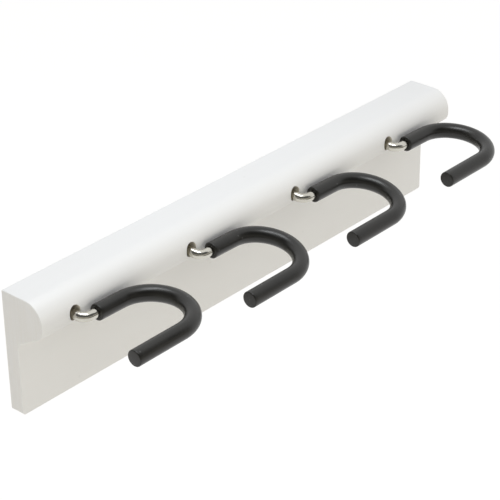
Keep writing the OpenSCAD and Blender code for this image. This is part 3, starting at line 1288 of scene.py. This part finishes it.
@dataclass
class Plate:
    """A flat zinc plate let into the rail's back, held by two countersunk screws, such as a hinge strap."""

    node: str
    screw_node: str
    screw_places: tuple[Pair, Pair]
    seed: int
    width: float = 12.0 * MM
    thickness: float = 2.0 * MM
    back: float = 0.2 * MM
    edge: float = 0.3 * MM
    edge_segments: int = 3
    edge_angle: float = 60.0
    seat_play: float = 0.1 * MM
    past: float = 2.0 * MM
    sharp: float = 32.0

    def outline(self, play: float = 0.0) -> list[Pair]:
        """Gives the plate's outline in X and Z, grown by a play on every side."""
        return stadium(*self.screw_places, self.width + 2 * play)

    def seat(self, rail: Rail) -> Block:
        """Gives the cut in the rail that takes the plate."""
        return Block(self.outline(self.seat_play), rail.past, -self.back - self.thickness)

    def bores(self, rail: Rail, screw: WoodScrew) -> list[Block]:
        """Gives the cuts in the rail that take the plate's screws."""
        radius, depth = screw.shank / 2 + self.seat_play, self.back + screw.length + self.seat_play
        return [Block(circle(place, radius), rail.past, -depth) for place in self.screw_places]

    def cuts(self, material: Material) -> dict[str, Object]:
        """Gives what is cut out of the plate besides its screw holes, which is nothing here."""
        return {}

    def sinks(self, screw: WoodScrew, material: Material) -> Object:
        """Gives the countersunk screw holes as a cutter.

        Args:
            screw: the screw that they take.
            material: material of their walls.

        Returns:
            The cutter.
        """
        mouth, hole = screw.head / 2 + self.seat_play, screw.shank / 2 + self.seat_play
        profile = [(self.back - self.past, mouth), (self.back, mouth), (self.back + mouth - hole, hole),
                   (self.back + self.thickness + self.past, hole)]
        return turned("sinks", profile, self.screw_places, material)

    def build(self, palette: Palette, screw: WoodScrew, pattern: Object, screws: ScrewTree) -> list[Object]:
        """Makes the plate and its screws.

        Args:
            palette: the rack's materials.
            screw: the sizes of its screws.
            pattern: the screw that is stood in it.
            screws: the tree that stands screws.

        Returns:
            The plate and its pair of screws.
        """
        sheet = Block(self.outline(), -self.back, -self.back - self.thickness)
        plate = prisms("pressed_" + self.node, [sheet], palette.zinc)
        bevel = plate.modifiers.new("edges", "BEVEL")
        bevel.width = self.edge
        bevel.segments = self.edge_segments
        bevel.limit_method = "ANGLE"
        bevel.angle_limit = math.radians(self.edge_angle)
        carve(plate, {"sinks": self.sinks(screw, palette.zinc), **self.cuts(palette.zinc)})
        mend(plate.data)
        shade(plate.data, self.sharp)
        tops = [(x, -self.back, z) for x, z in self.screw_places]
        pair = screws.stand("driven_" + self.screw_node, pattern, tops, self.seed, palette.screw_zinc)
        return [hand_over(plate, self.node, Body.RACK.value),
                hand_over(pair, self.screw_node, Body.RACK.value)]


@dataclass
class Hanger(Plate):
    """A keyhole hanger, with the room for a wall screw's head behind it."""

    screw_levels: ClassVar[Pair] = (-11.5 * MM, 17.5 * MM)
    places: ClassVar[dict[str, float]] = {"left": -102.0 * MM, "right": 102.0 * MM}
    width: float = 14.0 * MM
    thickness: float = 1.6 * MM
    entry: float = 10.0 * MM
    neck: float = 5.0 * MM
    neck_rise: float = 8.0 * MM
    head_room: float = 5.0 * MM
    entry_steps: int = 36
    neck_steps: int = 14
    play: float = 0.3 * MM

    @classmethod
    def on(cls, side: str) -> "Hanger":
        """Makes the hanger of one side, left or right, as in its nodes' names."""
        screws = tuple((cls.places[side], level) for level in cls.screw_levels)
        return cls(f"keyhole_plate_{side}", f"keyhole_screws_{side}", screws, seed=len(side))

    @property
    def x(self) -> float:
        """Place of the keyhole along the rail."""
        return self.screw_places[0][0]

    def cuts(self, material: Material) -> dict[str, Object]:
        """Gives the keyhole as a cutter.

        Args:
            material: material of its walls.

        Returns:
            The cutter by its name.
        """
        lean = math.degrees(math.acos(self.neck / self.entry))
        outline = (arc((self.x, 0.0), self.entry / 2, 180 - lean, 360 + lean, self.entry_steps)
                   + arc((self.x, self.neck_rise), self.neck / 2, 0, 180, self.neck_steps))
        through = Block(outline, self.past, -self.back - self.thickness - self.past)
        return {"keyhole": prisms("keyhole", [through], material)}

    def room(self, rail: Rail) -> Block:
        """Gives the cut in the rail that takes the wall screw's head."""
        outline = stadium((self.x, 0.0), (self.x, self.neck_rise), self.entry + 2 * self.play)
        return Block(outline, rail.past, -self.back - self.thickness - self.head_room)


@dataclass
class BackFittings:
    """The straps, the hangers and all their screws."""

    straps: list[Plate]
    hangers: list[Hanger]
    strap_screw: WoodScrew = field(
        default_factory=lambda: WoodScrew("strap_screw", head=6.0 * MM, shank=3.0 * MM, length=14.0 * MM))
    hanger_screw: WoodScrew = field(
        default_factory=lambda: WoodScrew("hanger_screw", head=5.4 * MM, shank=2.8 * MM, length=8.0 * MM))

    def sets(self) -> list[tuple[Plate, WoodScrew]]:
        """Gives each plate with the screw that holds it."""
        return [(s, self.strap_screw) for s in self.straps] + [(h, self.hanger_screw) for h in self.hangers]

    def build(self, palette: Palette) -> list[Object]:
        """Makes all the plates and their screws.

        Args:
            palette: the rack's materials.

        Returns:
            The pieces.
        """
        tree = ScrewTree()
        patterns = {screw.name: screw.build(palette.screw_zinc, palette.recess)
                    for screw in (self.strap_screw, self.hanger_screw)}
        pieces = []
        for plate, screw in self.sets():
            pieces += plate.build(palette, screw, patterns[screw.name], tree)
        for pattern in patterns.values():
            discard(pattern)
        return pieces


# The studio


def bearing(azimuth: float, elevation: float) -> Vector:
    """Gives the direction from the rack towards a viewer at an azimuth and an elevation in degrees."""
    a, e = math.radians(azimuth), math.radians(elevation)
    return Vector((math.sin(a) * math.cos(e), -math.cos(a) * math.cos(e), math.sin(e)))


@dataclass(frozen=True)
class Lamp:
    """A soft lamp that faces the rack: its place, its two sides, its power in watts and its colour."""

    name: str
    at: Triple
    size: Pair
    power: float
    colour: Triple
    in_gloss: bool = True
    aim: Triple = (0.0, -0.03, 0.0)

    def hang(self) -> None:
        """Hangs the lamp."""
        light = bpy.data.lights.new(self.name, "AREA")
        light.shape = "RECTANGLE"
        light.size, light.size_y = self.size
        light.energy = self.power
        light.color = self.colour
        thing = bpy.data.objects.new(self.name, light)
        thing.location = self.at
        thing.rotation_euler = (Vector(self.aim) - Vector(self.at)).to_track_quat("-Z", "Y").to_euler()
        thing.visible_glossy = self.in_gloss
        bpy.context.scene.collection.objects.link(thing)


@dataclass
class Studio:
    """Camera, lamps, floor and surroundings."""

    azimuth: float = -48.258
    elevation: float = 28.796
    roll: float = -0.8
    focal_px: float = 1837.8
    camera_at: Vector = field(default_factory=lambda: Vector((-803.0, -742.6, 574.1)) * MM)
    sensor: float = 36.0
    clip: Pair = (0.05, 50.0)
    floor_drop: float = 0.42
    floor_side: float = 8.0
    floor_share: float = 0.3
    floor_colour: Triple = (0.74, 0.72, 0.68)
    floor_glow: float = 1.25
    screen_distance: float = 0.95
    screen_turn: float = 85.0
    screen_rise: Pair = (-12.0, 58.0)
    screen_grid: tuple[int, int] = (24, 14)
    # Glow of the screen's painted reflections: pale below, dark above.
    screen_tones: tuple[Triple, Triple] = ((0.5, 0.48, 0.43), (0.12, 0.12, 0.12))
    screen_change: Pair = (14.0, 20.0)
    ambient: Triple = (0.97, 0.97, 0.98)
    ambient_strength: float = 0.54
    warm: ClassVar[Triple] = (1.0, 0.935, 0.77)
    lamps: tuple[Lamp, ...] = (
        Lamp("soft_top", (-0.1, -0.03, 1.15), (0.75, 0.34), 6.0, (0.94, 0.975, 1.0)),
        Lamp("warm_front", (0.5, -2.0, 0.05), (1.8, 1.4), 9.6, warm, in_gloss=False),
        Lamp("warm_side", (-1.9, -0.6, 0.05), (1.4, 1.4), 7.2, warm, in_gloss=False))

    def camera(self) -> None:
        """Places the camera at the photograph's viewpoint."""
        roll = math.radians(self.roll)
        back = bearing(self.azimuth, self.elevation)
        level = bearing(self.azimuth + 90, 0.0)
        right = math.cos(roll) * level + math.sin(roll) * back.cross(level)
        eye = bpy.data.cameras.new("camera")
        eye.sensor_width = self.sensor
        eye.lens = self.focal_px / IMAGE_SIDE * self.sensor
        eye.clip_start, eye.clip_end = self.clip
        stand = bpy.data.objects.new("camera", eye)
        turn = Matrix((right, back.cross(right), back)).transposed().to_4x4()
        stand.matrix_world = Matrix.Translation(self.camera_at) @ turn
        bpy.context.scene.collection.objects.link(stand)
        bpy.context.scene.camera = stand

    @staticmethod
    def seen(board: NodeBoard) -> NodeSocket:
        """Gives 1 for rays from the camera, in gloss or through glass, and 0 for light.

        Args:
            board: the board of a world or of a stage material.

        Returns:
            The mask's socket.
        """
        ray = board.add("ShaderNodeLightPath").outputs
        shown = board.math("MAXIMUM", ray["Is Camera Ray"], ray["Is Glossy Ray"])
        return board.math("MAXIMUM", shown, ray["Is Transmission Ray"])

    def surroundings(self) -> None:
        """Sets a white surround that gives soft light."""
        world = bpy.data.worlds.new("surround")
        board = cleared(world)
        white = board.use("ShaderNodeBackground", Color=WHITE, Strength=1.0)
        glow = board.use("ShaderNodeBackground", Color=self.ambient, Strength=self.ambient_strength)
        mix = board.use("ShaderNodeMixShader", i0=self.seen(board), i1=glow, i2=white)
        board.feed(board.add("ShaderNodeOutputWorld"), Surface=mix)
        bpy.context.scene.world = world

    def screen(self) -> None:
        """Hangs a curved glowing screen on the camera's side, pale below and dark above, which only gloss
        shows: it paints reflections of pale and dark surroundings into the rods, sleeves and paint.
        """
        material = bpy.data.materials.new("grey_screen")
        board = cleared(material)
        change = [self.screen_distance * math.sin(math.radians(rise)) for rise in self.screen_change]
        height = board.split(board.place())[2]
        tone = board.blend(board.between(height, *change), *self.screen_tones)
        # Painted reflection: the screen glows in these tones though it is no lamp.
        glow = board.use("ShaderNodeEmission", Color=tone, Strength=1.0)
        board.feed(board.add("ShaderNodeOutputMaterial"), Surface=glow)
        columns, rows = self.screen_grid
        low, high = self.screen_rise
        rises = [low + (high - low) * j / rows for j in range(rows + 1)]
        turns = [self.azimuth + self.screen_turn * (2 * k / columns - 1) for k in range(columns + 1)]
        points = [self.screen_distance * bearing(turn, rise) for rise in rises for turn in turns]
        firsts = [j * len(turns) + k for j in range(rows) for k in range(columns)]
        faces = [(k, k + 1, k + 1 + len(turns), k + len(turns)) for k in firsts]
        sheet = mesh_object("grey_screen", points, [], faces, [material])
        sheet.visible_camera = False
        sheet.visible_diffuse = False
        sheet.visible_shadow = False

    def floor(self) -> None:
        """Lays a pale floor below the rack, which shows white but for the rack's shadow."""
        material = bpy.data.materials.new("pale_floor")
        board = cleared(material)
        pale = board.use("ShaderNodeBsdfDiffuse", Color=self.floor_colour)
        white = board.use("ShaderNodeEmission", Color=WHITE, Strength=self.floor_glow)
        shown = board.math("MULTIPLY", self.seen(board), 1.0 - self.floor_share)
        mix = board.use("ShaderNodeMixShader", i0=shown, i1=pale, i2=white)
        board.feed(board.add("ShaderNodeOutputMaterial"), Surface=mix)
        half = self.floor_side / 2
        level = CAD_BOX[0].z - self.floor_drop
        corners = [(x, y, level) for x, y in rectangle((-half, -half), (half, half))]
        mesh_object("floor", corners, [], [(0, 1, 2, 3)], [material])

    def build(self) -> None:
        """Sets up the whole studio."""
        self.camera()
        self.floor()
        self.screen()
        self.surroundings()
        for lamp in self.lamps:
            lamp.hang()
        bpy.context.scene.view_settings.view_transform = "Standard"


def main() -> None:
    """Builds and dresses the rack piece by piece."""
    logging.basicConfig(level=logging.INFO, format="%(name)s: %(message)s")
    Studio().build()
    palette = Palette()
    skins = SkinTree()
    hooks = [Hook(number, Vector(joint["pos_m"])) for number, joint in enumerate(frame["joints"], 1)]
    fittings = BackFittings([hook.strap() for hook in hooks], [Hanger.on(side) for side in Hanger.places])
    pieces = [Rail().build(palette, hooks, fittings)]
    for hook in hooks:
        pieces += hook.build(palette, skins)
    pieces += fittings.build(palette)
    for piece in pieces:
        log.info("%s: %d faces", piece.name, len(piece.data.polygons))


if __name__ == "__main__":
    main()
